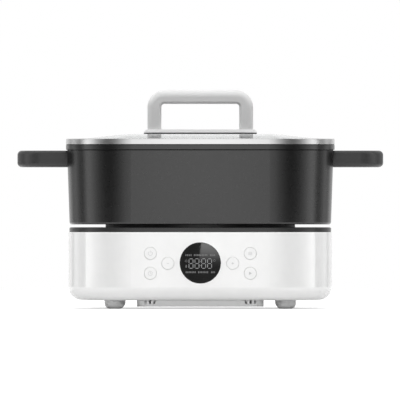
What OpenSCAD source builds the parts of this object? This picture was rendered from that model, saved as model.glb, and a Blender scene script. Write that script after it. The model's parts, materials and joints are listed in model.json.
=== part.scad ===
// Electric hot pot: a heated base, a lift-off pot with side handles and a lift-off glass lid.
// Front faces -Y, up is +Z, and the origin is on the table under the middle of the base.

/* [Pot] */
// Width of the pot over its rim
pot_w = 308; // [280:1:330]
// Depth of the pot over its rim
pot_d = 244; // [240:1:270]
// Corner radius of the rim in plan
corner_r = 75; // [60:1:85]
// Height of the pot with its rim
pot_h = 91.7; // [70:0.1:120]
// Height of the rim band
rim_h = 5.9; // [4:0.1:9]
// How far the rim band stands out from the wall
rim_step = 1.3; // [0.6:0.1:2.5]
// Slope of the pot's wall, in degrees
wall_draft = 1.95; // [0:0.05:4]
// Thickness of the pot's wall
pot_wall = 3.2; // [2:0.1:4]
// Thickness of the pot's floor
pot_floor = 4; // [3:0.1:6]
// Radius inside the pot where the wall meets the floor
pot_inner_r = 18; // [8:1:26]
// Radius outside the pot where the wall meets the floor
pot_outer_r = 2.5; // [1:0.1:5]
// Diameter of the machined disc under the pot
disc_d = 218; // [200:1:222]
// Thickness of the disc under the pot
disc_h = 1.9; // [1.2:0.1:3]

/* [Base] */
// Width of the base
base_w = 302; // [284:1:306]
// Depth of the base
base_d = 238; // [236:1:242]
// Height of the base's white shell
shell_h = 77.9; // [74:0.1:90]
// Thickness of the shell's wall
shell_wall = 2.6; // [2:0.1:3.4]
// Radius of the shell's lower edge
shell_edge_r = 15; // [8:0.5:20]
// Height of the dark frame on top of the shell
frame_h = 5.2; // [4:0.1:7]
// Thickness of the frame's top
frame_t = 3; // [2.4:0.1:3.6]
// How far the frame's side stands in from the shell
frame_inset = 1; // [0.5:0.1:2]
// Height of the feet, and so of the shell's underside
foot_h = 9.9; // [8:0.1:14]
// Diameter of a foot
foot_d = 24; // [20:1:28]
// Distance between the left and right feet
foot_gap_x = 196; // [180:1:210]
// Distance between the front and rear feet
foot_gap_y = 130; // [124:1:144]
// Width of the raised cover under the base
plinth_w = 145; // [140:1:156]
// Depth of the raised cover under the base
plinth_d = 190; // [184:1:194]
// Gap between the cover and the table
plinth_gap = 2.6; // [1.5:0.1:4]

/* [Heater] */
// How far the hot plate's lip stands above the frame
plate_lip = 1.7; // [1:0.1:3]
// Diameter of the hot plate's body, inside the frame's opening
plate_d = 206; // [190:1:208]
// Depth of the hot plate's body below its lip
plate_t = 6.3; // [5:0.1:9]
// Diameter of the heating element's tube
element_tube_d = 8; // [6:0.1:9]
// Diameter of the heating element's loop
element_loop_d = 150; // [130:1:160]
// Depth from the hot plate to the heat shield
shield_drop = 12.7; // [11.5:0.1:14]
// Thickness of the heat shield's sheet
shield_t = 0.8; // [0.6:0.1:1.2]
// Diameter of the temperature sensor's cap
sensor_d = 36; // [30:1:40]
// How far the temperature sensor can be pushed down
sensor_travel = 1.5; // [0.5:0.1:2.5]

/* [Controls] */
// Diameter of the display window
display_d = 47; // [40:0.5:52]
// Height of the display's centre above the shell's underside
display_z = 42.8; // [40:0.1:44]
// Diameter of a key
key_d = 14; // [10:0.5:15]
// Distance of the inner keys from the middle
key_inner_x = 37; // [35:0.5:40]
// Distance of the outer keys from the middle
key_outer_x = 57; // [54:0.5:59]
// Height of the upper outer keys over the lower ones
key_rise = 22.7; // [19:0.1:24]
// Travel of a key
key_travel = 0.5; // [0.2:0.1:0.8]

/* [Side handles] */
// Distance between the tips of the two side handles
handle_span = 420; // [400:1:440]
// Width of a side handle along the pot's side
handle_w = 94; // [80:1:94]
// Thickness of a side handle seen from above
handle_bar = 18; // [16:0.5:22]
// Height of a side handle
handle_h = 19; // [16:0.5:22]
// Radius of a side handle's outer corners in plan
handle_bend = 27; // [22:1:32]
// Gap between the rim band and a side handle's top
handle_drop = 1.2; // [0.4:0.1:6]

/* [Lid] */
// Height of the lid's steel band
band_h = 6.4; // [5.8:0.1:8]
// Thickness of the lid's steel band
band_t = 0.7; // [0.5:0.1:1]
// Width of the band's top flange
band_flange = 10; // [8:0.5:12]
// Thickness of the lid's glass
glass_t = 4; // [3:0.1:4.4]
// Rise of the glass from its edge to its middle
dome_rise = 6.2; // [3:0.1:12]
// Width of the lid handle over its arch
grip_w = 121.5; // [110:0.5:140]
// Height of the lid handle over its plate
grip_h = 45.4; // [38:0.1:60]
// Thickness of the lid handle's bar
grip_t = 14.6; // [12:0.1:17]
// Depth of the lid handle's bar, front to back
grip_depth = 22; // [18:0.5:26]
// Radius inside the lid handle's arch
grip_inner_r = 5; // [3:0.5:10]
// Width of the lid handle's plate
grip_plate_w = 130; // [126:0.5:144]
// Depth of the lid handle's plate
grip_plate_d = 34; // [30:0.5:44]
// Thickness of the lid handle's plate
grip_plate_h = 4; // [3:0.1:6]

/* [Clearances] */
// Gap round pieces that slide or lift out
slide_gap = 0.3; // [0.2:0.05:0.5]
// Gap round a shaft or screw in its hole
bore_gap = 0.05; // [0.02:0.01:0.1]

/* [Hidden] */
$fn = 64;

// Colours
white = [0.94, 0.94, 0.93];
pale = [0.74, 0.74, 0.73];
dark = [0.17, 0.17, 0.17];
black = [0.06, 0.06, 0.06];
steel = [0.72, 0.72, 0.73];
alloy = [0.8, 0.81, 0.82];
board_green = [0.1, 0.36, 0.2];
mid_grey = [0.4, 0.4, 0.4];
brown = [0.2, 0.16, 0.12];
tube_grey = [0.35, 0.33, 0.32];
case_blue = [0.2, 0.2, 0.25];
glass_tint = [0.8, 0.86, 0.86, 0.5];

// Cuts pass their faces by this much
over = 1;

// Heights, from the table up
shell_z = foot_h;
frame_z = shell_z + shell_h;
frame_top = frame_z + frame_h;
plate_top = frame_top + plate_lip;
pot_z = plate_top + disc_h;
pot_top = pot_z + pot_h;
band_top = pot_top + band_h;

// Outlines
base_r = corner_r - (pot_w - base_w) / 2;
frame_w = base_w - 2 * frame_inset;
frame_d = base_d - 2 * frame_inset;
frame_r = base_r - frame_inset;
front_y = -base_d / 2;
inner_front_y = front_y + shell_wall;

// Pot wall, as distances outside the rim's outline
wall_top_z = pot_top - rim_h;
groove_h = 1.2;
groove_depth = 0.6;
rim_chamfer = 1;
wall_body_h = wall_top_z - groove_h - pot_z;
wall_foot_x = -rim_step - wall_body_h * tan(wall_draft);
cavity_foot_x = wall_foot_x - pot_wall + pot_floor * tan(wall_draft);
cavity_top_x = cavity_foot_x + (pot_h - pot_floor) * tan(wall_draft);

// Hot plate and what hangs from it
plate_under = frame_top - plate_t;
shield_top = plate_under - shield_drop;
shield_reach = 8;
shield_d = plate_d + 2 * shield_reach;
boss_d = 10;
boss_in = 12;
boss_ring_r = plate_d / 2 - boss_in;
boss_count = 3;
sensor_play = 2;
sensor_bore_d = sensor_d + 2 * sensor_play;

// Screws: a blind hole stops this far inside its boss, and a screw's tip as far inside its hole
screw_d = 4;
screw_head_d = 8;
screw_head_h = 2.6;
small_screw_d = 3;
small_head_d = 5.6;
small_head_h = 2;
head_sink = 0.4;
boss_end = 2;
tip_gap = 2;

// ---------- shared shapes ----------

// Centre of the arc that joins a floor at height z to a wall leaning out by a degrees from (x, z)
function fillet_centre(x, z, a, r) = [x - r * (1 - sin(a)) / cos(a), z + r];
function fillet_touch(x, z, a, r) = fillet_centre(x, z, a, r) + r * [cos(a), -sin(a)];

// Profile from x0 out to a leaning wall, with a rounded lower edge
module drafted_block(x0, x1, z0, z1, a, r) {
    polygon([[x0, z0], [fillet_centre(x1, z0, a, r).x, z0], fillet_touch(x1, z0, a, r),
        [x1 + (z1 - z0) * tan(a), z1], [x0, z1]]);
    translate(fillet_centre(x1, z0, a, r)) circle(r);
}

// Takes the outer upper corner at (x, z) off a profile, to a radius
module round_top(x, z, r) {
    difference() {
        children();
        translate([x - r, z - r]) difference() {
            square(r + over);
            circle(r);
        }
    }
}

// Rectangle round the origin with round corners
module round_rect(w, h, r) {
    square([w - 2 * r, h], center = true);
    square([w, h - 2 * r], center = true);
    for (x = [-1, 1], y = [-1, 1]) translate([x * (w / 2 - r), y * (h / 2 - r)]) circle(r);
}

// Slot along Y with round ends
module slot(w, length) {
    square([w, length - w], center = true);
    for (y = [-1, 1]) translate([0, y * (length - w) / 2]) circle(d = w);
}

// Runs a profile round a rounded rectangle: x is the distance outside the outline, y the height
module sweep(w, d, r) {
    for (i = [0:3]) {
        across = i % 2 == 0 ? w / 2 : d / 2;
        along = (i % 2 == 0 ? d / 2 : w / 2) - r;
        rotate(90 * i) {
            translate([across, along, 0]) rotate([90, 0, 0]) linear_extrude(2 * along) children();
            translate([across - r, along, 0]) rotate_extrude(angle = 90) translate([r, 0]) children();
        }
    }
}

// Fills the middle of a swept rounded rectangle
module core(w, d, r, z0, z1) {
    translate([r - w / 2, r - d / 2, z0]) cube([w - 2 * r, d - 2 * r, z1 - z0]);
}

// Slab with a rounded rectangle's outline
module slab(w, d, r, z0, z1) {
    translate([0, 0, z0]) linear_extrude(z1 - z0) round_rect(w, d, r);
}

// U-shaped bar in the XY plane: two legs along X, joined by a crossbar at x = reach
module bow(span, reach, r) {
    for (s = [0, 1]) mirror([0, s, 0]) {
        translate([0, span / 2, 0]) rotate([90, 0, 90]) linear_extrude(reach - r) children();
        translate([reach - r, span / 2 - r, 0]) rotate_extrude(angle = 90) translate([r, 0]) children();
    }
    translate([reach, span / 2 - r, 0]) rotate([90, 0, 0]) linear_extrude(span - 2 * r) children();
}

// Cylinder along Z from z0 to z1
module rod(d, z0, z1) {
    translate([0, 0, z0]) cylinder(d = d, h = z1 - z0);
}

// Turns +Z to point out of the front, starting at the front face
module on_front(x, z) {
    translate([x, front_y, z]) rotate([90, 0, 0]) children();
}

// Screw along +Z with its head below z = 0
module screw(d, head_d, head_h, length) {
    rod(head_d, -head_h, 0);
    rod(d, -bore_gap, length);
}

// ---------- base ----------

// Places of the four feet
module at_feet() {
    for (x = [-1, 1], y = [-1, 1]) translate([x * foot_gap_x / 2, y * foot_gap_y / 2, 0]) children();
}

// Places of the four screws that hold the bottom cover
cover_screw_in = 10;
cover_screw_x = plinth_w / 2 - cover_screw_in;
cover_screw_y = plinth_d / 2 - cover_screw_in;
module at_cover_screws() {
    for (x = [-1, 1], y = [-1, 1]) translate([x * cover_screw_x, y * cover_screw_y, 0]) children();
}

// Control panel
display_up = shell_z + display_z;
key_under = 0.5;
key_mid = display_up - key_under;
key_spots = [[-key_outer_x, key_mid + key_rise / 2], [-key_outer_x, key_mid - key_rise / 2],
    [-key_inner_x, key_mid], [key_inner_x, key_mid],
    [key_outer_x, key_mid + key_rise / 2], [key_outer_x, key_mid - key_rise / 2]];
key_flange_t = 1.2;
key_flange_out = 1.5;
key_flange_d = key_d + 2 * key_flange_out;
key_stem_d = 5;
board_gap = 11.4;
board_y = inner_front_y + board_gap;
board_t = 1.6;
board_margin = 5;
board_screw_out = 7;
board_screw_x = key_outer_x + key_d / 2 + board_screw_out;
board_w = 2 * (board_screw_x + board_margin);
board_up = 14;
board_h = 48;
board_under_shield = 1.5;
board_z0 = shell_z + board_up;
board_z1 = min(shield_top - shield_t - board_under_shield, board_z0 + board_h);
board_post_d = 7;
module at_board_screws() {
    for (x = [-1, 1], z = [board_z0 + board_margin, board_z1 - board_margin])
        translate([x * board_screw_x, 0, z]) children();
}
switch_w = 6;
switch_h = 3.5;
plunger_d = 3.2;
plunger_h = 0.9;

// Power inlet, in the middle of the back
inlet_above = 30;
inlet_up = shell_z + inlet_above;
inlet_w = 27.5;
inlet_h = 20;
inlet_r = 2;
inlet_body = 24;
inlet_flange_w = 50;
inlet_flange_h = 24;
inlet_flange_r = 4;
inlet_flange_t = 3;
inlet_screw_x = 20;
inlet_screw_reach = 4;
socket_w = 22;
socket_h = 14;
socket_r = 3;
socket_depth = 17;
pin_w = 2;
pin_h = 6;
pin_length = 12;
pin_x = 7;
pin_rise = 2;
back_y = base_d / 2;

// Bosses and opening in the shell's floor, and the round on its upper edge
foot_boss_d = 9;
foot_boss_h = 10;
cover_boss_h = 11;
shell_floor = shell_z + shell_wall;
shell_round = 0.8;
opening_in_x = 6.5;
opening_in_y = 59;
opening_w = plinth_w - 2 * opening_in_x;
opening_d = plinth_d - 2 * opening_in_y;
opening_r = 6;

module base_shell() {
    color(white) difference() {
        union() {
            sweep(base_w, base_d, base_r) difference() {
                round_top(0, frame_z, shell_round)
                    drafted_block(-base_r, 0, shell_z, frame_z, 0, shell_edge_r);
                drafted_block(-base_r - over, -shell_wall, shell_floor, frame_z + over, 0,
                    shell_edge_r - shell_wall);
            }
            core(base_w, base_d, base_r, shell_z, shell_floor);
            at_feet() rod(foot_boss_d, shell_z, shell_floor + foot_boss_h);
            at_cover_screws() rod(screw_head_d, shell_z, shell_floor + cover_boss_h);
            at_board_screws() translate([0, board_y, 0]) rotate([90, 0, 0])
                cylinder(d = board_post_d, h = board_gap + shell_wall / 2);
        }
        slab(opening_w, opening_d, opening_r, shell_z - over, shell_floor + over);
        at_feet() rod(screw_d + 2 * bore_gap, shell_z - over, shell_floor + foot_boss_h - boss_end);
        at_cover_screws() rod(screw_d + 2 * bore_gap, shell_z - over, shell_floor + cover_boss_h - boss_end);
        at_board_screws() translate([0, board_y + over, 0]) rotate([90, 0, 0])
            cylinder(d = small_screw_d + 2 * bore_gap, h = board_gap);
        on_front(0, display_up) rod(display_d + 2 * bore_gap, -shell_wall - over, over);
        for (k = key_spots) on_front(k.x, k.y) rod(key_d + 2 * slide_gap, -shell_wall - over, over);
        translate([0, back_y, inlet_up]) rotate([90, 0, 0]) {
            translate([0, 0, -over]) linear_extrude(shell_wall + 2 * over)
                round_rect(inlet_w + 2 * slide_gap, inlet_h + 2 * slide_gap, inlet_r);
            for (x = [-1, 1]) translate([x * inlet_screw_x, 0, 0])
                rod(small_screw_d + 2 * bore_gap, -over, shell_wall + over);
        }
    }
}

// Frame: a flat top, a side that stands on the shell's wall and a lip that goes inside it
frame_lip_t = 2.4;
frame_lip_h = 5;
frame_round = 1.2;
module top_frame() {
    color(dark) difference() {
        union() {
            sweep(frame_w, frame_d, frame_r) union() {
                round_top(0, frame_top, frame_round) translate([-frame_r, frame_top - frame_t])
                    square([frame_r, frame_t]);
                translate([-shell_wall, frame_z]) square([shell_wall, frame_h - frame_round]);
                translate([-shell_wall + frame_inset - slide_gap - frame_lip_t, frame_z - frame_lip_h])
                    square([frame_lip_t, frame_h + frame_lip_h - frame_round]);
            }
            core(frame_w, frame_d, frame_r, frame_top - frame_t, frame_top);
        }
        rod(plate_d + 2 * slide_gap, frame_z, frame_top + over);
    }
}

// Cover under the base: a tray with vents, screwed up to the shell
cover_wall = 2.2;
cover_r = 12;
cover_post_wall = 1.5;
vent_w = 2.4;
vent_pitch = 5;
vent_gap = 1.2;
side_vent_in = 15;
tray_floor = plinth_gap + cover_wall;
power_post_d = 6;
power_post_h = 11;
power_in_x = 11;
power_in_y = 3;
power_board_w = opening_w - 2 * power_in_x;
power_board_d = opening_d - 2 * power_in_y;
power_board_z = tray_floor + power_post_h;
power_screw_x = power_board_w / 2 - board_margin;
power_screw_y = power_board_d / 2 - board_margin;
module at_power_screws() {
    for (x = [-1, 1], y = [-1, 1]) translate([x * power_screw_x, y * power_screw_y, 0]) children();
}
module bottom_cover() {
    color(white) difference() {
        union() {
            difference() {
                slab(plinth_w, plinth_d, cover_r, plinth_gap, shell_z);
                slab(plinth_w - 2 * cover_wall, plinth_d - 2 * cover_wall, cover_r - cover_wall,
                    tray_floor, shell_z + over);
            }
            at_cover_screws() rod(screw_head_d + 2 * cover_post_wall, plinth_gap, shell_z);
            at_power_screws() rod(power_post_d, plinth_gap, power_board_z);
        }
        at_cover_screws() {
            rod(screw_head_d + 2 * slide_gap, plinth_gap - over, plinth_gap + screw_head_h);
            rod(screw_d + 2 * slide_gap, plinth_gap, shell_z + over);
        }
        at_power_screws() rod(small_screw_d + 2 * bore_gap, tray_floor, power_board_z + over);
        // Vents through the floor, in two fields
        for (s = [-1, 1], i = [-3:3]) translate([s * plinth_w / 5 + i * vent_pitch, 0, plinth_gap - over])
            linear_extrude(cover_wall + 2 * over) slot(vent_w, plinth_d / 3);
        // Vents through the front and back walls
        for (x = [-1, 1], y = [-1, 1], i = [-1:1])
            translate([x * (plinth_w / 2 - side_vent_in) + i * vent_pitch, y * plinth_d / 2, shell_z])
            cube([vent_w, 2 * cover_wall + over, 2 * (shell_z - tray_floor - vent_gap)], center = true);
    }
}

module cover_screws() {
    seat_z = plinth_gap + screw_head_h;
    color(steel) at_cover_screws() translate([0, 0, seat_z])
        screw(screw_d, screw_head_d, screw_head_h - head_sink,
            shell_floor + cover_boss_h - boss_end - tip_gap - seat_z);
}

// Feet, screwed to the shell from below: a flange and a rounded cup, whose lower cap is a rubber pad
foot_flange_h = 1.5;
foot_lip = 0.3;
foot_round = 6.4;
pad_d = 10;
pad_in = 3.2;
pad_out = 2.2;
foot_screw_z = pad_out + pad_in + screw_head_h;
cup_top = shell_z - foot_flange_h;
cup_r = foot_d / 2 - foot_lip;

// Part of the cup's outline between two heights: a flat sole, a round and an upright side
module foot_cup(z0, z1) {
    intersection() {
        translate([0, z0]) square([cup_r, z1 - z0]);
        union() {
            square([cup_r - foot_round, foot_round]);
            translate([cup_r - foot_round, foot_round]) circle(foot_round);
            translate([0, foot_round]) square([cup_r, cup_top - foot_round]);
        }
    }
}
module feet() {
    color(white) at_feet() difference() {
        rotate_extrude() union() {
            translate([0, cup_top]) square([foot_d / 2, foot_flange_h]);
            foot_cup(pad_out, cup_top);
        }
        rod(pad_d + 2 * bore_gap, 0, pad_out + pad_in);
        rod(screw_head_d + 2 * slide_gap, pad_out, foot_screw_z);
        rod(screw_d + 2 * bore_gap, pad_out, shell_z + over);
    }
}
module foot_pads() {
    color(pale) at_feet() rotate_extrude() union() {
        foot_cup(0, pad_out);
        square([pad_d / 2, pad_out + pad_in]);
    }
}
module foot_screws() {
    color(steel) at_feet() translate([0, 0, foot_screw_z])
        screw(screw_d, screw_head_d, screw_head_h,
            shell_floor + foot_boss_h - boss_end - tip_gap - foot_screw_z);
}

// ---------- heater ----------

module at_bosses() {
    for (i = [0:boss_count - 1]) rotate(360 / boss_count * i + 90) translate([boss_ring_r, 0, 0]) children();
}
cutout_d = 17;
cutout_r = 44;
cutout_turn = -20;
cutout_h = 9;
tab_w = 4;
tab_t = 0.8;
tab_h = 1.4;
element_gap = 34;
cold_end = 6;
pin_d = 3;
element_pin = 10;
module hot_plate() {
    color(alloy) difference() {
        union() {
            rotate_extrude() union() {
                translate([sensor_bore_d / 2, frame_top]) square([(disc_d - sensor_bore_d) / 2, plate_lip]);
                translate([sensor_bore_d / 2, plate_under]) square([(plate_d - sensor_bore_d) / 2, plate_t]);
            }
            at_bosses() rod(boss_d, shield_top, plate_under + over);
        }
        rotate_extrude() translate([element_loop_d / 2, plate_under]) circle(element_tube_d / 2 + bore_gap);
        at_bosses() rod(screw_d + 2 * bore_gap, shield_top - over, plate_under);
    }
}

// Tubular element, half sunk in the plate, with two cold ends through the shield
module heating_element() {
    color(tube_grey) {
        rotate(element_gap / 2 - 90) rotate_extrude(angle = 360 - element_gap)
            translate([element_loop_d / 2, plate_under]) circle(d = element_tube_d);
        for (s = [-1, 1]) rotate(s * element_gap / 2 - 90) translate([element_loop_d / 2, 0, 0]) {
            rod(element_tube_d, shield_top - cold_end, plate_under);
            rod(pin_d, shield_top - cold_end - element_pin, shield_top - cold_end);
            translate([0, 0, plate_under]) sphere(d = element_tube_d);
        }
    }
}

shield_hole_gap = 2;
module heat_shield() {
    under = shield_top - shield_t - over;
    color(steel) difference() {
        rotate_extrude() union() {
            translate([0, shield_top - shield_t]) square([shield_d / 2, shield_t]);
            translate([shield_d / 2 - shield_t, shield_top - shield_t])
                square([shield_t, frame_top - frame_t - shield_top + shield_t]);
        }
        rod(housing_d + 2 * slide_gap, under, shield_top + over);
        at_bosses() rod(screw_d + 2 * bore_gap, under, shield_top + over);
        for (s = [-1, 1]) rotate(s * element_gap / 2 - 90) translate([element_loop_d / 2, 0, 0])
            rod(element_tube_d + 2 * shield_hole_gap, under, shield_top + over);
    }
}
module shield_screws() {
    color(steel) at_bosses() translate([0, 0, shield_top - shield_t])
        screw(screw_d, screw_head_d, screw_head_h, shield_drop + shield_t - tip_gap);
}

// Bimetal cut-out held against the plate's underside
module thermal_cutout() {
    color(brown) rotate(cutout_turn) translate([cutout_r, 0, 0]) {
        rod(cutout_d, plate_under - cutout_h, plate_under);
        for (s = [-1, 1]) translate([0, s * cutout_d / 4, plate_under - cutout_h])
            cube([tab_t, tab_w, 2 * tab_h], center = true);
    }
}

// Sprung temperature sensor in the middle of the hot plate
housing_d = 30;
housing_wall = 1.6;
housing_drop = 12;
housing_floor_z = shield_top - housing_drop;
housing_flange_out = 6;
stem_d = 8;
stem_out = 6;
sensor_top = pot_z;
cap_t = 1.5;
cap_h = 7;
cap_round = 0.8;
clip_t = 1;
clip_wall = 2.5;

// The housing's wall stops the cap just past the end of its travel
sensor_stop_z = sensor_top - cap_t - sensor_travel - slide_gap;
module sensor_housing() {
    color(steel) difference() {
        rotate_extrude() union() {
            translate([0, housing_floor_z]) square([housing_d / 2, housing_wall]);
            translate([housing_d / 2 - housing_wall, housing_floor_z])
                square([housing_wall, sensor_stop_z - housing_floor_z]);
            translate([housing_d / 2 - housing_wall, shield_top - shield_t - housing_wall])
                square([housing_flange_out + housing_wall, housing_wall]);
        }
        rod(stem_d + 2 * bore_gap, housing_floor_z - over, housing_floor_z + housing_wall + over);
    }
}
module temperature_sensor() {
    color(alloy) rotate_extrude() union() {
        round_top(sensor_d / 2, sensor_top, cap_round) translate([0, sensor_top - cap_t])
            square([sensor_d / 2, cap_t]);
        translate([sensor_d / 2 - cap_t, sensor_top - cap_h]) square([cap_t, cap_h - cap_round]);
        translate([0, housing_floor_z - stem_out])
            square([stem_d / 2, sensor_top - cap_t - housing_floor_z + stem_out]);
    }
}
module sensor_clip() {
    color(steel) difference() {
        rod(stem_d + 2 * clip_wall, housing_floor_z - clip_t, housing_floor_z);
        rod(stem_d, housing_floor_z - clip_t - over, housing_floor_z + over);
    }
}

// Coil spring: rings of points along a helix
spring_wire = 1.4;
spring_r = 8.5;
spring_turns = 6;
spring_sides = 6;
spring_steps = 14;
spring_z0 = housing_floor_z + housing_wall + spring_wire / 2;
spring_z1 = sensor_top - cap_t - spring_wire / 2;
function helix_ring(i) = let (t = i / spring_steps, a = 360 * t,
    z = spring_z0 + (spring_z1 - spring_z0) * t / spring_turns)
    [for (k = [0:spring_sides - 1]) let (b = 360 * k / spring_sides, r = spring_r + spring_wire / 2 * cos(b))
        [r * cos(a), r * sin(a), z + spring_wire / 2 * sin(b)]];
module sensor_spring() {
    n = spring_turns * spring_steps;
    points = [for (i = [0:n]) each helix_ring(i)];
    faces = [
        [for (k = [0:spring_sides - 1]) k],
        for (i = [0:n - 1], k = [0:spring_sides - 1]) let (a = i * spring_sides, b = (k + 1) % spring_sides)
            [a + k, a + spring_sides + k, a + spring_sides + b, a + b],
        [for (k = [spring_sides - 1:-1:0]) n * spring_sides + k]];
    color(steel) polyhedron(points, faces);
}

// ---------- control panel ----------

window_flange = 2.5;
window_flange_t = 1.4;
module display_window() {
    color(black) on_front(0, display_up) {
        rod(display_d, -shell_wall, 0);
        rod(display_d + 2 * window_flange, -shell_wall - window_flange_t, -shell_wall);
    }
}
module_w = 38;
module_h = 24;
module display_module() {
    color(black) translate([-module_w / 2, inner_front_y + window_flange_t, display_up - module_h / 2])
        cube([module_w, board_gap - window_flange_t, module_h]);
}
module control_board() {
    color(board_green) difference() {
        translate([-board_w / 2, board_y, board_z0]) cube([board_w, board_t, board_z1 - board_z0]);
        at_board_screws() translate([0, board_y + board_t + over, 0]) rotate([90, 0, 0])
            cylinder(d = small_screw_d + 2 * bore_gap, h = board_t + 2 * over);
    }
}
module key_switches() {
    color(black) for (k = key_spots) translate([k.x, board_y, k.y]) rotate([90, 0, 0]) {
        translate([-switch_w / 2, -switch_w / 2, 0]) cube([switch_w, switch_w, switch_h]);
        rod(plunger_d, switch_h - bore_gap, switch_h + plunger_h);
    }
}
module board_screws() {
    color(steel) at_board_screws() translate([0, board_y + board_t, 0]) rotate([90, 0, 0])
        screw(small_screw_d, small_head_d, small_head_h, board_gap - tip_gap);
}

// One key: a cap through the shell, a flange behind it and a stem towards its switch
key_proud = 0.2;
key_round = 0.4;
module key(i) {
    stem_end = board_gap - switch_h - plunger_h - key_travel - bore_gap;
    color(white) on_front(key_spots[i].x, key_spots[i].y) {
        rotate_extrude() round_top(key_d / 2, key_proud, key_round) translate([0, -shell_wall])
            square([key_d / 2, shell_wall + key_proud]);
        rod(key_flange_d, -shell_wall - key_flange_t, -shell_wall);
        rod(key_stem_d, -shell_wall - stem_end, -shell_wall);
    }
}
module key_power() { key(0); }
module key_timer() { key(1); }
module key_minus() { key(2); }
module key_plus() { key(3); }
module key_menu() { key(4); }
module key_start() { key(5); }

// ---------- power ----------

module power_board() {
    color(board_green) difference() {
        translate([-power_board_w / 2, -power_board_d / 2, power_board_z])
            cube([power_board_w, power_board_d, board_t]);
        at_power_screws()
            rod(small_screw_d + 2 * bore_gap, power_board_z - over, power_board_z + board_t + over);
    }
}

// Component cases on the power board, as [x, y, width, depth, height]
transformer = [-25, -1, 26, 22, 19];
relay = [3.5, -6.5, 19, 15, 16];
terminals = [28, 10.5, 20, 9, 14];
filter = [1, 12.5, 14, 9, 11];
capacitor_spot = [20, -6];
capacitor_d = 12;
capacitor_h = 20;
module power_components() {
    color(case_blue) translate([0, 0, power_board_z + board_t]) {
        for (c = [transformer, relay, terminals, filter]) translate([c[0], c[1], c[4] / 2])
            cube([c[2], c[3], c[4]], center = true);
        translate(capacitor_spot) cylinder(d = capacitor_d, h = capacitor_h);
    }
}
module power_board_screws() {
    color(steel) at_power_screws() translate([0, 0, power_board_z + board_t]) mirror([0, 0, 1])
        screw(small_screw_d, small_head_d, small_head_h, power_post_h + board_t - tip_gap);
}
module at_inlet() {
    translate([0, back_y, inlet_up]) rotate([-90, 0, 0]) children();
}
module power_inlet() {
    color(black) at_inlet() difference() {
        union() {
            translate([0, 0, -inlet_body]) linear_extrude(inlet_body) round_rect(inlet_w, inlet_h, inlet_r);
            linear_extrude(inlet_flange_t) round_rect(inlet_flange_w, inlet_flange_h, inlet_flange_r);
        }
        translate([0, 0, inlet_flange_t - socket_depth]) linear_extrude(socket_depth + over)
            round_rect(socket_w, socket_h, socket_r);
        for (x = [-1, 1]) translate([x * inlet_screw_x, 0, 0]) {
            rod(small_screw_d + 2 * bore_gap, -over, inlet_flange_t + over);
            rod(small_head_d + 2 * slide_gap, inlet_flange_t - small_head_h, inlet_flange_t + over);
        }
    }
}
module inlet_pins() {
    color(steel) at_inlet() for (i = [-1:1])
        translate([i * pin_x, i == 0 ? -pin_rise : pin_rise, inlet_flange_t - socket_depth])
            linear_extrude(pin_length) square([pin_w, pin_h], center = true);
}
module inlet_screws() {
    color(steel) at_inlet() for (x = [-1, 1]) translate([x * inlet_screw_x, 0, inlet_flange_t - small_head_h])
        mirror([0, 0, 1]) screw(small_screw_d, small_head_d, small_head_h, shell_wall + inlet_screw_reach);
}

// ---------- pot ----------

// The pot's outside, as a profile: a drafted wall, then a V groove and the rim with its chamfer
module pot_profile() {
    groove_z = wall_top_z - groove_h;
    drafted_block(-corner_r, wall_foot_x, pot_z, groove_z, wall_draft, pot_outer_r);
    polygon([[-corner_r, groove_z - over], [-rim_step - over, groove_z - over], [-rim_step, groove_z],
        [-rim_step - groove_depth, groove_z + groove_h / 2], [-rim_step, wall_top_z], [0, wall_top_z],
        [0, pot_top - rim_chamfer], [-rim_chamfer, pot_top], [-corner_r, pot_top]]);
}
module pot_outside() {
    sweep(pot_w, pot_d, corner_r) pot_profile();
    core(pot_w, pot_d, corner_r, pot_z, pot_top);
}

// Side handles: a bow fixed on two lugs of the pot
handle_z = wall_top_z - handle_drop - handle_h / 2;
handle_leg_y = handle_w / 2 - handle_bar / 2;
handle_edge_r = 5;
handle_root = 12;
lug_w = 9;
lug_h = 9;
lug_reach = 12;
lug_root = 20;
lug_end = 1.5;
side_screw_out = 6;
side_screw_x = pot_w / 2 + side_screw_out;
module lugs(gap) {
    for (x = [-1, 1], y = [-1, 1]) scale([x, y, 1])
        translate([pot_w / 2 - lug_root - gap, handle_leg_y - lug_w / 2 - gap, handle_z - lug_h / 2 - gap])
            cube([lug_reach + lug_root + 2 * gap, lug_w + 2 * gap, lug_h + 2 * gap]);
}
module at_side_screws(x_signs) {
    for (x = x_signs, y = [-1, 1]) translate([x * side_screw_x, y * handle_leg_y, handle_z - handle_h / 2])
        children();
}
module pot_body() {
    color(dark) difference() {
        union() {
            pot_outside();
            lugs(0);
        }
        sweep(pot_w, pot_d, corner_r) drafted_block(-corner_r, cavity_foot_x, pot_z + pot_floor,
            pot_top + over, wall_draft, pot_inner_r);
        core(pot_w, pot_d, corner_r, pot_z + pot_floor, pot_top + over);
        at_side_screws([-1, 1]) rod(screw_d + 2 * bore_gap, 0, (handle_h + lug_h) / 2 - lug_end);
    }
}
module pot_disc() {
    color(alloy) difference() {
        rod(disc_d, plate_top, pot_z);
        rod(sensor_bore_d + 2 * sensor_play, plate_top - over, pot_z + over);
    }
}
module side_handle(s) {
    root_x = pot_w / 2 - handle_root;
    color(dark) difference() {
        scale([s, 1, 1]) translate([root_x, 0, handle_z])
            bow(2 * handle_leg_y, handle_span / 2 - handle_bar / 2 - root_x, handle_bend - handle_bar / 2)
                round_rect(handle_bar, handle_h, handle_edge_r);
        pot_outside();
        lugs(slide_gap / 2);
        at_side_screws([s]) {
            rod(screw_d + 2 * slide_gap, -over, handle_h / 2);
            rod(screw_head_d + 2 * slide_gap, -over, screw_head_h + head_sink);
        }
    }
}
module side_handle_left() { side_handle(-1); }
module side_handle_right() { side_handle(1); }
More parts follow.
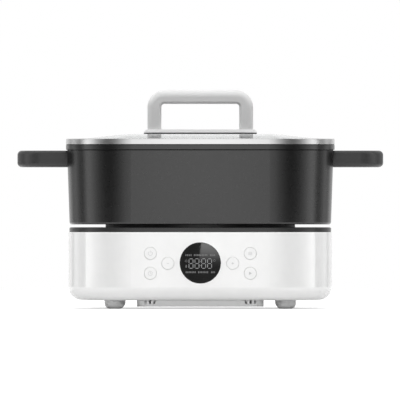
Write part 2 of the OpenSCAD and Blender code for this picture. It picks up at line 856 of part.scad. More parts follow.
module side_handle_screws() {
    color(steel) at_side_screws([-1, 1]) translate([0, 0, screw_head_h + head_sink])
        screw(screw_d, screw_head_d, screw_head_h,
            (handle_h + lug_h) / 2 - lug_end - screw_head_h - 2 * head_sink);
}

// ---------- lid ----------

// Heights of the lid's pieces
glass_edge_top = band_top - band_t;
glass_edge_z = glass_edge_top - glass_t;
land_top = glass_edge_top + dome_rise;
glass_in = band_t + slide_gap;
band_round = 1;
dome_start = 16;
dome_power = 1.3;
dome_steps = 16;

// Height of the dome over the glass's edge, u from 0 at the middle's flat to 1 at its foot
function dome(u) = dome_rise * (1 - pow(u, dome_power));
function dome_line(z) = [for (i = [0:dome_steps]) let (u = i / dome_steps)
    [-corner_r + u * (corner_r - dome_start), z + dome(u)]];

module lid_glass() {
    color(glass_tint) difference() {
        union() {
            sweep(pot_w, pot_d, corner_r) polygon([
                each dome_line(glass_edge_top), [-glass_in, glass_edge_top], [-glass_in, glass_edge_z],
                for (i = [dome_steps:-1:0]) dome_line(glass_edge_z)[i]]);
            core(pot_w, pot_d, corner_r, land_top - glass_t, land_top);
        }
        at_grip_screws() rod(bush_d + 2 * bore_gap, land_top - glass_t - over, land_top + over);
    }
}

// Steel band: outer wall with a flange over the glass and one under the gasket
module lid_rim() {
    color(steel) sweep(pot_w, pot_d, corner_r) {
        round_top(0, band_top, band_round) union() {
            translate([-band_t, pot_top]) square([band_t, band_h]);
            translate([-band_flange, glass_edge_top]) square([band_flange, band_t]);
            translate([cavity_top_x, pot_top]) square([-cavity_top_x, band_t]);
        }
    }
}

// Silicone seal: a seat for the glass and a skirt that goes into the pot
skirt_t = 2.6;
skirt_drop = 5;
skirt_x = cavity_top_x - slide_gap - skirt_drop * tan(wall_draft);
module lid_gasket() {
    color(black) sweep(pot_w, pot_d, corner_r) union() {
        translate([skirt_x - skirt_t, pot_top + band_t])
            square([skirt_t - skirt_x - band_t, glass_edge_z - pot_top - band_t]);
        translate([skirt_x - skirt_t, pot_top - skirt_drop])
            square([skirt_t, glass_edge_z - pot_top + skirt_drop]);
    }
}

// Lid handle: an arch on a plate, on a gasket, with bushes, washers and screws under the glass
gasket_t = 1.4;
plate_z = land_top + gasket_t;
bush_d = 14;
bush_tip_d = 11;
bush_drop = 3.8;
washer_d = 16;
washer_t = 1;
washer_z = land_top - glass_t - bush_drop - washer_t;
grip_leg_x = grip_w / 2 - grip_t / 2;
grip_soft_r = 8;
grip_crisp_r = 1.5;
grip_bore = 16;
plate_edge = 0.8;
plate_bevel = 2.2;
plate_flat = 2;
plate_end_r = (grip_plate_d - plate_flat) / 2;
module at_grip_screws() {
    for (x = [-1, 1]) translate([x * grip_leg_x, 0, 0]) children();
}

// Section of the arch: well rounded on its outer side (+X), nearly square on its inner side
module grip_section() {
    outer = grip_t / 2 - grip_soft_r;
    inner = grip_t / 2 - grip_crisp_r;
    for (s = [-1, 1]) scale([1, s]) {
        polygon([[-grip_t / 2, 0], [-grip_t / 2, grip_depth / 2 - grip_crisp_r], [-inner, grip_depth / 2],
            [outer, grip_depth / 2], [grip_t / 2, grip_depth / 2 - grip_soft_r], [grip_t / 2, 0]]);
        translate([outer, grip_depth / 2 - grip_soft_r]) circle(grip_soft_r);
        translate([-inner, grip_depth / 2 - grip_crisp_r]) circle(grip_crisp_r);
    }
}
module lid_handle() {
    plate_up = plate_z + grip_plate_h;
    arch_reach = grip_plate_h + grip_h - grip_t / 2;
    color(pale) difference() {
        union() {
            translate([0, 0, plate_z]) rotate(90) rotate([0, -90, 0])
                bow(2 * grip_leg_x, arch_reach, grip_inner_r + grip_t / 2) grip_section();
            sweep(grip_plate_w, grip_plate_d, plate_end_r) translate([0, plate_z])
                polygon([[-plate_end_r, 0], [0, 0], [0, plate_edge], [-plate_bevel, grip_plate_h],
                    [-plate_end_r, grip_plate_h]]);
            core(grip_plate_w, grip_plate_d, plate_end_r, plate_z, plate_up);
        }
        at_grip_screws() rod(screw_d + 2 * bore_gap, plate_z - over, plate_z + grip_bore);
    }
}
module handle_gasket() {
    color(mid_grey) difference() {
        translate([0, 0, land_top]) linear_extrude(gasket_t)
            round_rect(grip_plate_w, grip_plate_d, plate_end_r);
        at_grip_screws() rod(screw_d + 2 * slide_gap, land_top - over, land_top + gasket_t + over);
    }
}
module handle_bushes() {
    color(mid_grey) at_grip_screws() difference() {
        union() {
            rod(bush_d, land_top - glass_t, land_top);
            translate([0, 0, land_top - glass_t - bush_drop])
                cylinder(d1 = bush_tip_d, d2 = bush_d, h = bush_drop);
        }
        rod(screw_d + 2 * bore_gap, washer_z, land_top + over);
    }
}
module handle_washers() {
    color(steel) at_grip_screws() difference() {
        rod(washer_d, washer_z, washer_z + washer_t);
        rod(screw_d + 2 * bore_gap, washer_z - over, washer_z + washer_t + over);
    }
}
module lid_handle_screws() {
    color(steel) at_grip_screws() translate([0, 0, washer_z])
        screw(screw_d, screw_head_d, screw_head_h, plate_z + grip_bore - tip_gap - washer_z);
}

base_shell();
top_frame();
bottom_cover();
hot_plate();
heating_element();
heat_shield();
shield_screws();
thermal_cutout();
sensor_housing();
temperature_sensor();
sensor_spring();
sensor_clip();
display_window();
display_module();
control_board();
key_switches();
board_screws();
key_power();
key_timer();
key_minus();
key_plus();
key_menu();
key_start();
power_board();
power_components();
power_board_screws();
power_inlet();
inlet_pins();
inlet_screws();
feet();
foot_pads();
foot_screws();
cover_screws();
pot_body();
pot_disc();
side_handle_left();
side_handle_right();
side_handle_screws();
lid_rim();
lid_glass();
lid_gasket();
lid_handle();
handle_gasket();
handle_bushes();
handle_washers();
lid_handle_screws();
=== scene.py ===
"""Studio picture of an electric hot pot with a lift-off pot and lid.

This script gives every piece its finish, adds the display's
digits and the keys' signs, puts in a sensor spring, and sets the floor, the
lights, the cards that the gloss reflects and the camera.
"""

import json
import math

import bmesh
import bpy
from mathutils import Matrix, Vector


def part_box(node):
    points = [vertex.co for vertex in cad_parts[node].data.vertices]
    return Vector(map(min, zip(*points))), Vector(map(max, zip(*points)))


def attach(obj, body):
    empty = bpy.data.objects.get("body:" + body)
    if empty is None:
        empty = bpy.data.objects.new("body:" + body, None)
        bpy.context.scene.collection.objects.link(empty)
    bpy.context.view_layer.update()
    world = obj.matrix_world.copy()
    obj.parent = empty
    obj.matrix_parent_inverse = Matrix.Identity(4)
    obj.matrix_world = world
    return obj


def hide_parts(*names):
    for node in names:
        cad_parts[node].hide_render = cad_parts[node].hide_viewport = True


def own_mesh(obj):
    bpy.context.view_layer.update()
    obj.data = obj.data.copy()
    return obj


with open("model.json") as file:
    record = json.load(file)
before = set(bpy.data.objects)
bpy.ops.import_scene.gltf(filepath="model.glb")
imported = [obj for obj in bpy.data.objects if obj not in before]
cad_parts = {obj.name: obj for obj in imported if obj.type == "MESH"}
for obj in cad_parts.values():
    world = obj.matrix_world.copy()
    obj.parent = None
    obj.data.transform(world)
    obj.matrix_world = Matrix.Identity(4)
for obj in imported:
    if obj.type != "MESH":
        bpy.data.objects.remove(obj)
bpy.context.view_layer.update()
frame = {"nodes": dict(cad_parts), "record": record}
nodes = frame["nodes"]

MM = 0.001

# ---------------------------------------------------------------- camera

# The photograph is a level front view, so close to parallel that a long lens far away draws it
PICTURE_WIDTH = 460 * MM
CAMERA_DISTANCE = 14.95
CAMERA_X = -0.35 * MM
CAMERA_Z = 124.5 * MM
SENSOR_WIDTH = 36.0

camera_data = bpy.data.cameras.new("camera")
camera_data.sensor_width = SENSOR_WIDTH
camera_data.lens = SENSOR_WIDTH * CAMERA_DISTANCE / PICTURE_WIDTH
camera = bpy.data.objects.new("camera", camera_data)
camera.location = (CAMERA_X, -CAMERA_DISTANCE, CAMERA_Z)
camera.rotation_euler = (math.radians(90), 0, 0)
bpy.context.collection.objects.link(camera)
bpy.context.scene.camera = camera
bpy.context.scene.view_settings.view_transform = "Standard"


# ---------------------------------------------------------------- shader helpers


class Shader:
    """A node material with a Principled surface, and short calls for what feeds it."""

    def __init__(self, name, **sockets):
        self.material = bpy.data.materials.new(name)
        self.material.use_nodes = True
        self.tree = self.material.node_tree
        self.surface = self.tree.nodes["Principled BSDF"]
        for socket, value in sockets.items():
            label = socket.replace("_", " ")
            if label == "Base Color":
                value = (*value, 1)
            self.surface.inputs[label].default_value = value

    def add(self, kind, **settings):
        node = self.tree.nodes.new(kind)
        for key, value in settings.items():
            if hasattr(node, key):
                setattr(node, key, value)
            else:
                node.inputs[key.replace("_", " ")].default_value = value
        return node

    def link(self, source, target):
        self.tree.links.new(source, target)

    def place(self, stretch=(1, 1, 1)):
        """Object coordinates in metres, stretched."""
        coordinates = self.add("ShaderNodeTexCoord")
        mapping = self.add("ShaderNodeMapping")
        mapping.inputs["Scale"].default_value = stretch
        self.link(coordinates.outputs["Object"], mapping.inputs["Vector"])
        return mapping.outputs["Vector"]

    def noise(self, scale, detail=3.0, roughness=0.5, stretch=(1, 1, 1)):
        node = self.add("ShaderNodeTexNoise", Scale=scale, Detail=detail, Roughness=roughness)
        self.link(self.place(stretch), node.inputs["Vector"])
        return node.outputs["Fac"]

    def spread(self, source, low, high, start=0.3, end=0.7):
        """Maps a 0 to 1 value to the range from low to high."""
        node = self.add("ShaderNodeMapRange")
        node.inputs["From Min"].default_value = start
        node.inputs["From Max"].default_value = end
        node.inputs["To Min"].default_value = low
        node.inputs["To Max"].default_value = high
        self.link(source, node.inputs["Value"])
        return node.outputs["Result"]

    def tool_rings(self, scale, distortion):
        """Rings left by the tool round the middle of a machined face."""
        node = self.add("ShaderNodeTexWave", wave_type="RINGS", rings_direction="Z", Scale=scale,
                        Distortion=distortion)
        self.link(self.place(), node.inputs["Vector"])
        return node.outputs["Fac"]

    def roughness(self, source, low, high):
        self.link(self.spread(source, low, high), self.surface.inputs["Roughness"])

    def colour(self, source, dark, light, start=0.3, end=0.7):
        ramp = self.add("ShaderNodeValToRGB")
        ramp.color_ramp.elements[0].position = start
        ramp.color_ramp.elements[0].color = (*dark, 1)
        ramp.color_ramp.elements[1].position = end
        ramp.color_ramp.elements[1].color = (*light, 1)
        self.link(source, ramp.inputs["Fac"])
        self.link(ramp.outputs["Color"], self.surface.inputs["Base Color"])

    def bump(self, source, height):
        """Bump whose full range is height metres."""
        node = self.add("ShaderNodeBump", Strength=1.0, Distance=height)
        self.link(source, node.inputs["Height"])
        self.link(node.outputs["Normal"], self.surface.inputs["Normal"])


def grey(value):
    return (value, value, value)


def tinted(value, tint):
    return tuple(value * t for t in tint)


# ---------------------------------------------------------------- materials

# Tints, which multiply a grey level
WARM_WHITE = (1, 1, 0.996)
BROWN = (1.2, 0.85, 0.6)
# Colour that lit segments glow with
COLD_GLOW = (0.9, 0.95, 1, 1)


def moulded(name, level, tint=(1, 1, 1), rough=(0.2, 0.26), grain=3e-6, scale=900, ior=1.46):
    """Moulded plastic: an even colour with a faint mottle and a fine grain."""
    shader = Shader(name, IOR=ior)
    mottle = shader.noise(60, detail=4)
    shader.colour(mottle, tinted(level * 0.97, tint), tinted(level, tint))
    shader.roughness(shader.noise(260), *rough)
    shader.bump(shader.noise(scale, detail=2), grain)
    return shader.material


def make_shell_white():
    """Glossy white. Its index is above a real plastic's, so that the bands of the cards show on it."""
    return moulded("shell_white", 0.86, WARM_WHITE, rough=(0.09, 0.12), grain=0.5e-6, scale=420, ior=2.0)


def make_key_white():
    return moulded("key_white", 0.87, WARM_WHITE, rough=(0.14, 0.18), grain=1e-6, scale=700, ior=1.72)


def make_cover_grey():
    return moulded("cover_grey", 0.9, rough=(0.38, 0.46), grain=8e-6, scale=1600)


def make_frame_dark():
    return moulded("frame_dark", 0.022, rough=(0.3, 0.36), grain=4e-6, scale=1500)


def make_handle_dark():
    return moulded("handle_dark", 0.03, rough=(0.36, 0.44), grain=4e-6, scale=1900, ior=1.5)


def make_grip_grey():
    """Soft-touch grey: its edges look paler than its face."""
    shader = Shader("grip_grey", IOR=1.38, Sheen_Weight=1.0, Sheen_Roughness=0.8)
    shader.colour(shader.noise(60, detail=4), grey(0.515), grey(0.525))
    shader.roughness(shader.noise(260), 0.44, 0.5)
    shader.bump(shader.noise(1500, detail=2), 0.5e-6)
    return shader.material


def make_inlet_black():
    return moulded("inlet_black", 0.02, rough=(0.42, 0.5), grain=9e-6, scale=1700)


def make_module_black():
    return moulded("module_black", 0.02, rough=(0.5, 0.6), grain=6e-6, scale=1500)


def make_seal_black():
    return moulded("seal_black", 0.012, rough=(0.55, 0.68), grain=6e-6, scale=2200)


def make_seal_grey():
    return moulded("seal_grey", 0.03, rough=(0.5, 0.6), grain=5e-6, scale=2200)


def make_pad_rubber():
    return moulded("pad_rubber", 0.75, rough=(0.45, 0.55), grain=8e-6, scale=2200)


def make_foot_white():
    return moulded("foot_white", 0.92, rough=(0.2, 0.28), grain=1e-6, scale=900, ior=1.5)


def make_bakelite():
    return moulded("bakelite", 0.09, BROWN, rough=(0.4, 0.5), grain=8e-6, scale=1400)


def make_pot_coat():
    """Dark non-stick coating: a near-black base with a sprayed grain and a soft gloss."""
    shader = Shader("pot_coat", IOR=1.67)
    speckle = shader.noise(2600, detail=2, roughness=0.6)
    shader.colour(speckle, grey(0.001), grey(0.003))
    shader.roughness(shader.noise(320, detail=4), 0.27, 0.31)
    shader.bump(speckle, 0.5e-6)
    return shader.material


def brushed(name, level, rough=(0.18, 0.26), stretch=(1, 1, 60), scale=180, height=2e-6):
    """Metal with fine lines along the directions that aren't stretched."""
    shader = Shader(name, Metallic=1.0)
    lines = shader.noise(scale, detail=5, roughness=0.65, stretch=stretch)
    shader.colour(lines, grey(level * 0.93), grey(level))
    shader.roughness(lines, *rough)
    shader.bump(lines, height)
    return shader.material


def make_band_steel():
    return brushed("band_steel", 0.68, rough=(0.28, 0.34), height=1e-6)


def make_sheet_steel():
    return brushed("sheet_steel", 0.6, rough=(0.25, 0.36), stretch=(1, 40, 1))


def make_screw_steel():
    return brushed("screw_steel", 0.55, rough=(0.22, 0.34), stretch=(30, 30, 1), scale=400)


def make_element_steel():
    return brushed("element_steel", 0.3, rough=(0.34, 0.46), stretch=(1, 1, 1), scale=700)


def make_pin_brass():
    shader = Shader("pin_brass", Metallic=1.0)
    lines = shader.noise(500, stretch=(1, 1, 20))
    shader.colour(lines, (0.62, 0.48, 0.24), (0.74, 0.6, 0.34))
    shader.roughness(lines, 0.22, 0.34)
    return shader.material


def make_cast_alloy():
    """Machined casting."""
    shader = Shader("cast_alloy", Metallic=1.0)
    rings = shader.tool_rings(700, 0.6)
    shader.colour(rings, grey(0.56), grey(0.68), 0, 1)
    shader.roughness(shader.noise(240), 0.26, 0.36)
    shader.bump(rings, 3e-6)
    return shader.material


def make_plate_dark():
    """Dark coat on a machined casting: the tool's rings show through it."""
    shader = Shader("plate_dark", IOR=1.5)
    rings = shader.tool_rings(500, 0.5)
    shader.colour(rings, grey(0.004), grey(0.009), 0, 1)
    shader.roughness(shader.noise(240), 0.4, 0.5)
    shader.bump(rings, 3e-6)
    return shader.material


def make_lid_clear():
    """Tempered glass, with a breath of wear in its gloss."""
    shader = Shader("lid_clear", IOR=1.46, Transmission_Weight=1.0, Base_Color=(0.93, 0.955, 0.95))
    shader.roughness(shader.noise(90), 0.0, 0.02)
    return shader.material


def make_window_black():
    shader = Shader("window_black", IOR=1.5)
    shader.colour(shader.noise(40), grey(0.009), grey(0.014))
    shader.roughness(shader.noise(300), 0.02, 0.04)
    return shader.material


def make_board_green():
    """Circuit board: tracks show as slightly lighter lines in the green lacquer."""
    shader = Shader("board_green", IOR=1.5)
    tracks = shader.add("ShaderNodeTexBrick", Scale=60.0, offset=0.5)
    tracks.inputs["Mortar Size"].default_value = 0.03
    shader.link(shader.place(), tracks.inputs["Vector"])
    shader.colour(tracks.outputs["Fac"], (0.01, 0.09, 0.035), (0.03, 0.17, 0.07), 0, 1)
    shader.roughness(shader.noise(400), 0.28, 0.4)
    return shader.material


def make_parts_mixed():
    """Cases of the board's components: blue-black, mottled by block."""
    shader = Shader("parts_mixed", IOR=1.46)
    blocks = shader.add("ShaderNodeTexVoronoi", Scale=45.0)
    shader.link(shader.place(), blocks.inputs["Vector"])
    shader.colour(blocks.outputs["Distance"], (0.015, 0.02, 0.05), (0.05, 0.06, 0.12), 0, 1)
    shader.roughness(shader.noise(300), 0.35, 0.5)
    return shader.material


def lit_segments(name, glow, low, high):
    """Pale segments of the display, with a cold glow."""
    shader = Shader(name, Emission_Strength=glow)
    shader.colour(shader.noise(900), grey(low), grey(high))
    shader.surface.inputs["Emission Color"].default_value = COLD_GLOW
    shader.roughness(shader.noise(300), 0.3, 0.4)
    return shader.material


def make_print_grey():
    shader = Shader("print_grey", IOR=1.46)
    shader.colour(shader.noise(900), grey(0.5), grey(0.56))
    shader.roughness(shader.noise(300), 0.35, 0.45)
    return shader.material


SLOT_MATERIALS = {
    "base_white": make_shell_white(),
    "frame_dark": make_frame_dark(),
    "cover_grey": make_cover_grey(),
    "cast_alloy": make_cast_alloy(),
    "plate_dark": make_plate_dark(),
    "element_steel": make_element_steel(),
    "sheet_steel": make_sheet_steel(),
    "screw_steel": make_screw_steel(),
    "spring_steel": make_sheet_steel(),
    "bakelite": make_bakelite(),
    "window_black": make_window_black(),
    "module_black": make_module_black(),
    "board_green": make_board_green(),
    "parts_mixed": make_parts_mixed(),
    "key_white": make_key_white(),
    "inlet_black": make_inlet_black(),
    "pin_brass": make_pin_brass(),
    "foot_white": make_foot_white(),
    "pad_rubber": make_pad_rubber(),
    "pot_coating": make_pot_coat(),
    "handle_dark": make_handle_dark(),
    "lid_steel": make_band_steel(),
    "lid_clear": make_lid_clear(),
    "seal_black": make_seal_black(),
    "seal_grey": make_seal_grey(),
    "grip_grey": make_grip_grey(),
}
DIGIT_LIGHT = lit_segments("digit_light", 0.06, 0.2, 0.26)
LAMP_LIGHT = lit_segments("lamp_light", 0.02, 0.1, 0.14)
PRINT_GREY = make_print_grey()

for part in frame["record"]["subparts"]:
    mesh = nodes[part["node"]].data
    mesh.materials.clear()
    mesh.materials.append(SLOT_MATERIALS[part["material_slot"]])

# ---------------------------------------------------------------- shape helpers


def between(stops, at):
    """Value at a place between stops of (place, value)."""
    for (a, low), (b, high) in zip(stops, stops[1:]):
        if at <= b:
            return low + (high - low) * (at - a) / (b - a)
    return stops[-1][1]


def finished_piece(name, bm, material, body):
    """Piece from a bmesh, which it frees, on that body and with that material."""
    bmesh.ops.recalc_face_normals(bm, faces=bm.faces)
    mesh = bpy.data.meshes.new(name)
    bm.to_mesh(mesh)
    bm.free()
    piece = bpy.data.objects.new(name, mesh)
    bpy.context.collection.objects.link(piece)
    mesh.materials.append(material)
    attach(piece, body)
    return piece


def arc(radius, start, end, steps=24, centre=(0, 0)):
    """Points along an arc, in degrees."""
    points = []
    for i in range(steps + 1):
        angle = math.radians(start + (end - start) * i / steps)
        points.append((centre[0] + radius * math.cos(angle), centre[1] + radius * math.sin(angle)))
    return points


def circle(radius, count):
    """That many points on a circle round the origin."""
    return arc(radius, 0, 360 - 360 / count, count - 1)


# ---------------------------------------------------------------- display and signs

PRINT_HEIGHT = 0.05 * MM


def ring(outer, width, start=0, end=350, centre=(0, 0)):
    """Outline of a ring with a gap in it."""
    return arc(outer, start, end, centre=centre) + arc(outer - width, end, start, centre=centre)


def bar(x, z, width, height):
    """Outline of a bar with round ends, centred on (x, z)."""
    r = min(width, height) / 2
    dx, dz = width / 2 - r, height / 2 - r
    corners = []
    for sx, sz, start in ((1, 1, 0), (-1, 1, 90), (-1, -1, 180), (1, -1, 270)):
        corners += arc(r, start, start + 90, 5, (sx * dx, sz * dz))
    return [(x + u, z + v) for u, v in corners]


def front_print(name, outlines, node, body, material):
    """Thin raised shapes on the front face of a node: outlines are in millimetres round its middle."""
    low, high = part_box(node)
    centre = (low + high) / 2
    face_y = low.y
    front_y, back_y = face_y - PRINT_HEIGHT, face_y + PRINT_HEIGHT
    bm = bmesh.new()
    for outline in outlines:
        front = [bm.verts.new((centre.x + x * MM, front_y, centre.z + z * MM)) for x, z in outline]
        back = [bm.verts.new((v.co.x, back_y, v.co.z)) for v in front]
        bm.faces.new(front)
        bm.faces.new(list(reversed(back)))
        for i in range(len(front)):
            j = (i + 1) % len(front)
            bm.faces.new((front[j], front[i], back[i], back[j]))
    finished_piece(name, bm, material, body)


# Seven-segment digits, as half the width and height between the middles of the segments
DIGIT_HALF_W = 2.3
DIGIT_HALF_H = 5.4
SEGMENT = 0.75
SEGMENT_GAP = 0.5


def digit(x, z):
    """The seven segments of an 8."""
    level = 2 * DIGIT_HALF_W - SEGMENT - SEGMENT_GAP
    upright = DIGIT_HALF_H - SEGMENT - SEGMENT_GAP
    shapes = [bar(x, z + k * DIGIT_HALF_H, level, SEGMENT) for k in (-1, 0, 1)]
    for sx in (-1, 1):
        for sz in (-1, 1):
            shapes.append(bar(x + sx * DIGIT_HALF_W, z + sz * DIGIT_HALF_H / 2, SEGMENT, upright))
    return shapes


LAMP_H = 2.2
LAMP_W = 1.1
LAMP_PITCH = 1.75


def lamp_row(start, end, z):
    """A level lamp: a row of small upright segments that fills the space from start to end."""
    count = round((end - start) / LAMP_PITCH)
    pitch = (end - start) / count
    return [bar(start + (i + 0.5) * pitch, z, LAMP_W, LAMP_H) for i in range(count)]


DIGIT_X = (-10.6, -3.8, 3.8, 10.6)
DIGIT_Z = -0.7
COLON_Z = 2.4
LAMP_TOP_Z = 8.9
LAMP_BOTTOM_Z = -10.6
# Start and end of each level lamp
TOP_LAMPS = ((-17.4, -9.6), (-7.6, 8.4), (10.8, 17.0))
BOTTOM_LAMPS = ((-17.0, -5.0), (-2.8, 9.2), (12.0, 17.0))
# Small round and upright lamps beside the digits
LEFT_MARK_X = -16.1
RIGHT_MARK_X = 16.0
MARK_LINE = 0.4

digits = [shape for x in DIGIT_X for shape in digit(x, DIGIT_Z)]
digits += [bar(0, DIGIT_Z + z, SEGMENT, SEGMENT) for z in (-COLON_Z, COLON_Z)]
front_print("display_digits", digits, "display_window", "base", DIGIT_LIGHT)

lamps = [shape for start, end in TOP_LAMPS for shape in lamp_row(start, end, LAMP_TOP_Z)]
lamps += [shape for start, end in BOTTOM_LAMPS for shape in lamp_row(start, end, LAMP_BOTTOM_Z)]
lamps += [ring(1.4, MARK_LINE, centre=(LEFT_MARK_X, 2.2)), bar(LEFT_MARK_X, -3.9, 1.3, 3.2),
          ring(1.3, MARK_LINE, centre=(RIGHT_MARK_X, 2.8))]
front_print("display_lamps", lamps, "display_window", "base", LAMP_LIGHT)

POWER_LINE = 0.45
CLOCK_LINE = 0.4
SIGN_LINE = 0.5
SIGN_ARM = 3.0
MENU_BAR = 4.6
MENU_PITCH = 1.4
START_TRIANGLE = [(-1.4, -1.9), (1.9, 0), (-1.4, 1.9)]
KEY_SIGNS = {
    "key_power": [ring(2.5, POWER_LINE, 120, 420), bar(0, 2.1, POWER_LINE, 2.6)],
    "key_timer": [ring(2.6, CLOCK_LINE), bar(0, 0.9, CLOCK_LINE, 2.2), bar(0.7, 0, 1.8, CLOCK_LINE)],
    "key_minus": [bar(0, 0, SIGN_ARM, SIGN_LINE)],
    "key_plus": [bar(0, 0, SIGN_ARM, SIGN_LINE), bar(0, 0, SIGN_LINE, SIGN_ARM)],
    "key_menu": [bar(0, z, MENU_BAR, SIGN_LINE) for z in (-MENU_PITCH, 0, MENU_PITCH)],
    "key_start": [START_TRIANGLE],
}
for key, shapes in KEY_SIGNS.items():
    front_print(key + "_sign", shapes, key, key, PRINT_GREY)

# ---------------------------------------------------------------- sensor spring

# Round wire with closed end coils. It stands for the CAD spring, which it hides
SPRING_WIRE = 1.6 * MM
SPRING_TURNS = 6
SPRING_STEPS = 32
SPRING_SIDES = 12
# Turns that lie closed at each end, and how far apart their wires are, in wire thicknesses
SPRING_CLOSED = 0.9
CLOSED_PITCH = 1.02


def coil_rise(turn, rise):
    """Height of the wire after that many turns: nearly flat in the end coils."""
    closed_rise = CLOSED_PITCH * SPRING_WIRE * SPRING_CLOSED
    stops = ((0, 0), (SPRING_CLOSED, closed_rise),
             (SPRING_TURNS - SPRING_CLOSED, rise - closed_rise), (SPRING_TURNS, rise))
    return between(stops, turn)


def coil_spring():
    low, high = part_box("sensor_spring")
    middle = (low + high) / 2
    radius = (high.x - low.x - SPRING_WIRE) / 2
    rise = high.z - low.z - SPRING_WIRE
    bm = bmesh.new()
    rings = []
    for i in range(SPRING_TURNS * SPRING_STEPS + 1):
        turn = i / SPRING_STEPS
        z = low.z + SPRING_WIRE / 2 + coil_rise(turn, rise)
        angle = 2 * math.pi * turn
        section = circle(SPRING_WIRE / 2, SPRING_SIDES)
        rings.append([bm.verts.new((middle.x + (radius + u) * math.cos(angle),
                                    middle.y + (radius + u) * math.sin(angle), z + v)) for u, v in section])
    for first, second in zip(rings, rings[1:]):
        for k in range(SPRING_SIDES):
            j = (k + 1) % SPRING_SIDES
            bm.faces.new((first[k], second[k], second[j], first[j])).smooth = True
    bm.faces.new(rings[0])
    bm.faces.new(list(reversed(rings[-1])))
    spring = finished_piece("coil_spring", bm, SLOT_MATERIALS["spring_steel"], "base")
    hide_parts("sensor_spring")
    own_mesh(spring)


coil_spring()

# ---------------------------------------------------------------- stage

FLOOR_HALF = 14.0
FLOOR_BACK = 3.0
FLOOR_LEVEL = 0.6
# What the background's rays see on top of the light on the floor: together they are white
FLOOR_GLOW = 0.5


def background_rays(tree):
    """1 for rays that should see the white background: camera, glossy and transmission rays."""
    rays = tree.nodes.new("ShaderNodeLightPath")
    found = rays.outputs["Is Camera Ray"]
    for kind in ("Is Glossy Ray", "Is Transmission Ray"):
        either = tree.nodes.new("ShaderNodeMath")
        either.operation = "MAXIMUM"
        tree.links.new(found, either.inputs[0])
        tree.links.new(rays.outputs[kind], either.inputs[1])
        found = either.outputs[0]
    return found


# Strength of the world as a lamp: the background's rays see it at 1, which is white
WORLD_FILL = 0.21
world = bpy.data.worlds.new("studio")
bpy.context.scene.world = world
world.use_nodes = True
background = world.node_tree.nodes["Background"]
background.inputs["Color"].default_value = (1, 1, 1, 1)
strength = world.node_tree.nodes.new("ShaderNodeMapRange")
strength.inputs["To Min"].default_value = WORLD_FILL
strength.inputs["To Max"].default_value = 1.0
world.node_tree.links.new(background_rays(world.node_tree), strength.inputs["Value"])
world.node_tree.links.new(strength.outputs["Result"], background.inputs["Strength"])


def make_floor():
    """Pale floor: white to the camera where it is lit, darker in the object's shadow."""
    shader = Shader("floor_white", Roughness=0.9, Specular_IOR_Level=0.0, Base_Color=grey(FLOOR_LEVEL))
    shader.surface.inputs["Emission Color"].default_value = (1, 1, 1, 1)
    shader.link(shader.spread(background_rays(shader.tree), 0.0, FLOOR_GLOW, 0, 1),
                shader.surface.inputs["Emission Strength"])
    bpy.ops.mesh.primitive_plane_add(size=1)
    floor = bpy.context.object
    floor.name = "floor"
    floor.scale = (2 * FLOOR_HALF, FLOOR_HALF + FLOOR_BACK, 1)
    floor.location = (0, (FLOOR_BACK - FLOOR_HALF) / 2, 0)
    floor.data.materials.append(shader.material)


make_floor()


def polar(azimuth, elevation, distance, aim_z):
    """A point seen from the object at that angle: azimuth 0 is the camera's side, 90 the right."""
    a, e = math.radians(azimuth), math.radians(elevation)
    flat = distance * math.cos(e)
    return Vector((flat * math.sin(a), -flat * math.cos(a), aim_z + distance * math.sin(e)))


AIM = Vector((0, 0, 120 * MM))


def softbox(name, azimuth, elevation, distance, width, height, level):
    """Area lamp that faces the object, its size in metres. It lights it; the cards make the reflections."""
    data = bpy.data.lights.new(name, "AREA")
    data.shape = "RECTANGLE"
    data.size = width
    data.size_y = height
    data.energy = level * math.pi * width * height
    lamp = bpy.data.objects.new(name, data)
    lamp.location = polar(azimuth, elevation, distance, AIM.z)
    lamp.rotation_euler = (AIM - lamp.location).to_track_quat("-Z", "Y").to_euler()
    lamp.visible_camera = False
    lamp.visible_glossy = False
    lamp.visible_transmission = False
    bpy.context.collection.objects.link(lamp)


def glossy_only(piece):
    """Seen in reflections alone, so that it neither shades nor lights the object."""
    piece.visible_camera = False
    piece.visible_transmission = False
    piece.visible_shadow = False
    piece.visible_diffuse = False


def card_material(name, level=None):
    """Even card of that radiance, or one that takes it from the mesh's own colours."""
    shader = Shader(name, Roughness=1.0, Base_Color=grey(0.02), Specular_IOR_Level=0.0)
    shader.surface.inputs["Emission Color"].default_value = (1, 1, 1, 1)
    shader.surface.inputs["Emission Strength"].default_value = 1.0 if level is None else level
    if level is None:
        levels = shader.add("ShaderNodeVertexColor", layer_name="level")
        shader.link(levels.outputs["Color"], shader.surface.inputs["Emission Color"])
    return shader.material


def card(name, points, faces, levels=None, level=None):
    """Card from points in metres, with a radiance for all of it or for each point."""
    mesh = bpy.data.meshes.new(name)
    mesh.from_pydata(points, [], faces)
    if levels:
        attribute = mesh.color_attributes.new("level", "FLOAT_COLOR", "POINT")
        for i, value in enumerate(levels):
            attribute.data[i].color = (value, value, value, 1)
    mesh.materials.append(card_material(name, level))
    piece = bpy.data.objects.new(name, mesh)
    bpy.context.collection.objects.link(piece)
    glossy_only(piece)


# Radiance of the graded cards by azimuth, in degrees: glossy walls show it as their pale and dark bands
CARD_STOPS = (
    (0, 1.55), (6, 1.55), (8, 1.25), (16, 0.8), (26, 0.36), (35, 0.06), (44, 0.02),
    (54, 0.24), (64, 0.75), (70, 1.2), (75, 1.65), (82.5, 1.75), (83.5, 0.1), (91, 0.1),
    (99, 0.35), (105, 0.8), (110, 0.95), (115, 0.6), (122, 0.2), (127, 0.8), (136, 1.0),
)
CARD_END = CARD_STOPS[-1][0]
CARD_DISTANCE = 600 * MM
CARD_HEIGHT = 1200 * MM
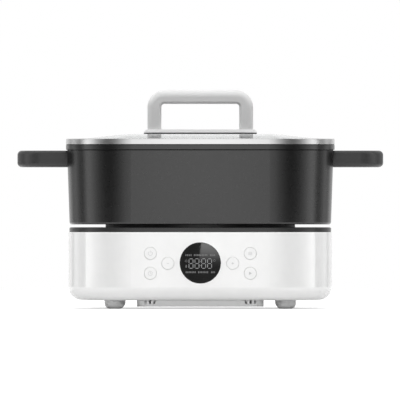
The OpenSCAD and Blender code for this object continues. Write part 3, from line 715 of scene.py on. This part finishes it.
# The middle one is narrow and lower than those beside it
FRONT_CARD_EDGE = 8
FRONT_CARD_HEIGHT = 420 * MM
COLUMNS_PER_DEGREE = 2


def graded_card(name, start, end, height):
    """Curved upright card round the object, from one azimuth to another."""
    columns = COLUMNS_PER_DEGREE * (end - start)
    points, levels = [], []
    for i in range(columns + 1):
        azimuth = start + (end - start) * i / columns
        for z in (0, height):
            points.append(tuple(polar(azimuth, 0, CARD_DISTANCE, z)))
            levels.append(between(CARD_STOPS, abs(azimuth)))
    faces = [(2 * i, 2 * i + 2, 2 * i + 3, 2 * i + 1) for i in range(columns)]
    card(name, points, faces, levels=levels)


# Two cards that the display's flat window reflects to the camera, and no larger than it. The window looks
# dark, with a bright wedge that fades downwards. Places are in millimetres round the display's middle
WINDOW_CARD_Y = -500 * MM
WINDOW_CARD_RADIUS = 23.6
WINDOW_CARD_POINTS = 60
WINDOW_CARD_LEVEL = 0.15
WEDGE_STOPS = ((-6, 0.15), (-3, 0.2), (2, 0.6), (6, 1.4), (13, 3.0), (20, 4.0), (24, 4.0))
WEDGE_EDGE = ((-6, -2.6), (5, -1.3), (24, 1.3))
WEDGE_ROWS = 30
# How far the wedge's top stays inside the window card's edge
WEDGE_MARGIN = 0.1


def window_cards():
    low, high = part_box("display_window")
    middle = (low + high) / 2
    to_window = low.y + CAMERA_DISTANCE
    grow = (to_window + low.y - WINDOW_CARD_Y) / to_window

    def mirrored(x, z, y):
        """Where the camera's ray to that place on the window goes on to."""
        return (CAMERA_X + (middle.x + x * MM - CAMERA_X) * grow, y,
                CAMERA_Z + (middle.z + z * MM - CAMERA_Z) * grow)

    points = [mirrored(x, z, WINDOW_CARD_Y) for x, z in circle(WINDOW_CARD_RADIUS, WINDOW_CARD_POINTS)]
    card("window_card", points, [tuple(range(len(points)))], level=WINDOW_CARD_LEVEL)
    points, levels = [], []
    bottom, top = WEDGE_STOPS[0][0], WINDOW_CARD_RADIUS - WEDGE_MARGIN
    for i in range(WEDGE_ROWS + 1):
        z = bottom + (top - bottom) * i / WEDGE_ROWS
        reach = math.sqrt(WINDOW_CARD_RADIUS ** 2 - z ** 2)
        for x in (min(between(WEDGE_EDGE, z), reach), reach):
            points.append(mirrored(x, z, WINDOW_CARD_Y + MM))
            levels.append(between(WEDGE_STOPS, z))
    faces = [(2 * i, 2 * i + 1, 2 * i + 3, 2 * i + 2) for i in range(WEDGE_ROWS)]
    card("wedge_card", points, faces, levels=levels)


# Even light from above, so that the whole floor is white apart from the object's shadow
TOP_LEVEL = 0.8
TOP_SPREAD = 50
TOP_TILT = 12


def top_light():
    data = bpy.data.lights.new("top_light", "SUN")
    data.energy = TOP_LEVEL * math.pi
    data.angle = math.radians(TOP_SPREAD)
    lamp = bpy.data.objects.new("top_light", data)
    lamp.rotation_euler = (math.radians(TOP_TILT), 0, 0)
    lamp.visible_glossy = False
    lamp.visible_transmission = False
    bpy.context.collection.objects.link(lamp)


softbox("front_box", azimuth=0, elevation=0.5, distance=1.3, width=2.4, height=0.24, level=2.6)
softbox("rear_box", azimuth=180, elevation=18, distance=1.6, width=2.0, height=0.8, level=1.5)
top_light()
for side in (-1, 1):
    softbox(f"side_box_{side + 1}", azimuth=side * 82, elevation=32, distance=1.5, width=1.2, height=0.9,
            level=2.2)
graded_card("front_card", -FRONT_CARD_EDGE, FRONT_CARD_EDGE, FRONT_CARD_HEIGHT)
graded_card("left_card", -CARD_END, -FRONT_CARD_EDGE, CARD_HEIGHT)
graded_card("right_card", FRONT_CARD_EDGE, CARD_END, CARD_HEIGHT)
window_cards()
